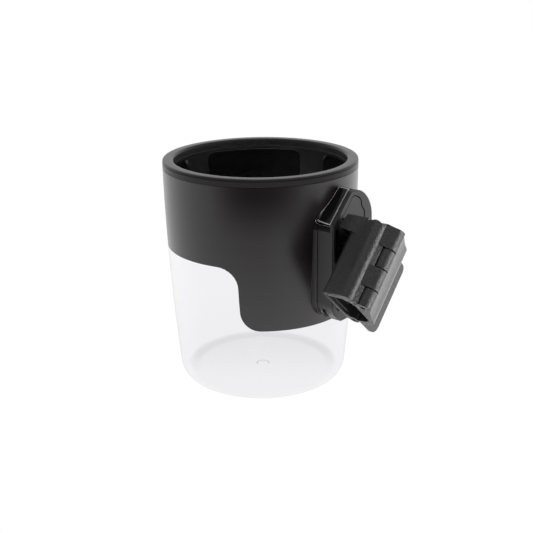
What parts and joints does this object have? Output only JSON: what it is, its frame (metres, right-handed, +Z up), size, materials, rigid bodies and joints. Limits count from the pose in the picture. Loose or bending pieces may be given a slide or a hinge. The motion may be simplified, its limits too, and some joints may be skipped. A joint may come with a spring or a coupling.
{
  "type": "tube clamp cup holder",
  "caption": "Clear cup in a dark sleeve with a quick-release mount, a swivelling tube clamp, a hinged clamp door and soft grip pads.",
  "frame": {"origin": "middle of the cup's base, where it stands", "axes": "+Z up along the cup, +X from the cup towards the clamp, +Y to the side"},
  "size_m": [0.1298, 0.094, 0.111],
  "materials": {
    "clear_plastic": "clear moulded plastic, glossy",
    "satin_black": "satin moulded black",
    "liner_black": "satin moulded black",
    "mount_black": "fine matt grain",
    "gloss_black": "polished black",
    "clamp_black": "fine spark-eroded grain",
    "soft_rubber": "matt soft rubber",
    "steel": "zinc plated"
  },
  "bodies": {
    "cup": {"clear_cup": "clear_plastic", "sleeve": "satin_black", "rim_ring": "satin_black", "liner": "liner_black", "grip_pads": "soft_rubber", "mount_housing": "mount_black", "housing_screws": "steel", "button_spring": "steel"},
    "button": {"release_button": "gloss_black"},
    "adaptor": {"tongue": "mount_black", "index_ring": "mount_black", "swivel_bush": "steel", "swivel_washer": "steel"},
    "clamp": {"clamp_jaw": "clamp_black", "jaw_pad": "soft_rubber", "side_pad": "soft_rubber", "catch_pin": "steel", "hinge_pin": "steel", "door_spring": "steel", "swivel_screw": "steel"},
    "door": {"clamp_door": "clamp_black", "door_pad": "soft_rubber"}
  },
  "joints": [
    {"name": "button_press", "type": "slide", "parent": "cup", "child": "button", "axis": [0, 0.6871, -0.7266], "range_m": [0, 0.0005], "stiffness_N_per_m": 400, "springref_m": -0.0008},
    {"name": "adaptor_slide", "type": "slide", "parent": "cup", "child": "adaptor", "axis": [0, 0, 1], "range_m": [-0.036, 0]},
    {"name": "clamp_swivel", "type": "hinge", "parent": "adaptor", "child": "clamp", "pos_m": [0.055, 0, 0.075], "axis": [1, 0, 0], "continuous": true},
    {"name": "door_hinge", "type": "hinge", "parent": "clamp", "child": "door", "pos_m": [0.0791, -0.0148, 0.07533], "axis": [0, -0.682, -0.7314], "range_deg": [0, 95], "stiffness_Nm_per_rad": 0.02, "springref_deg": -17.19}
  ]
}
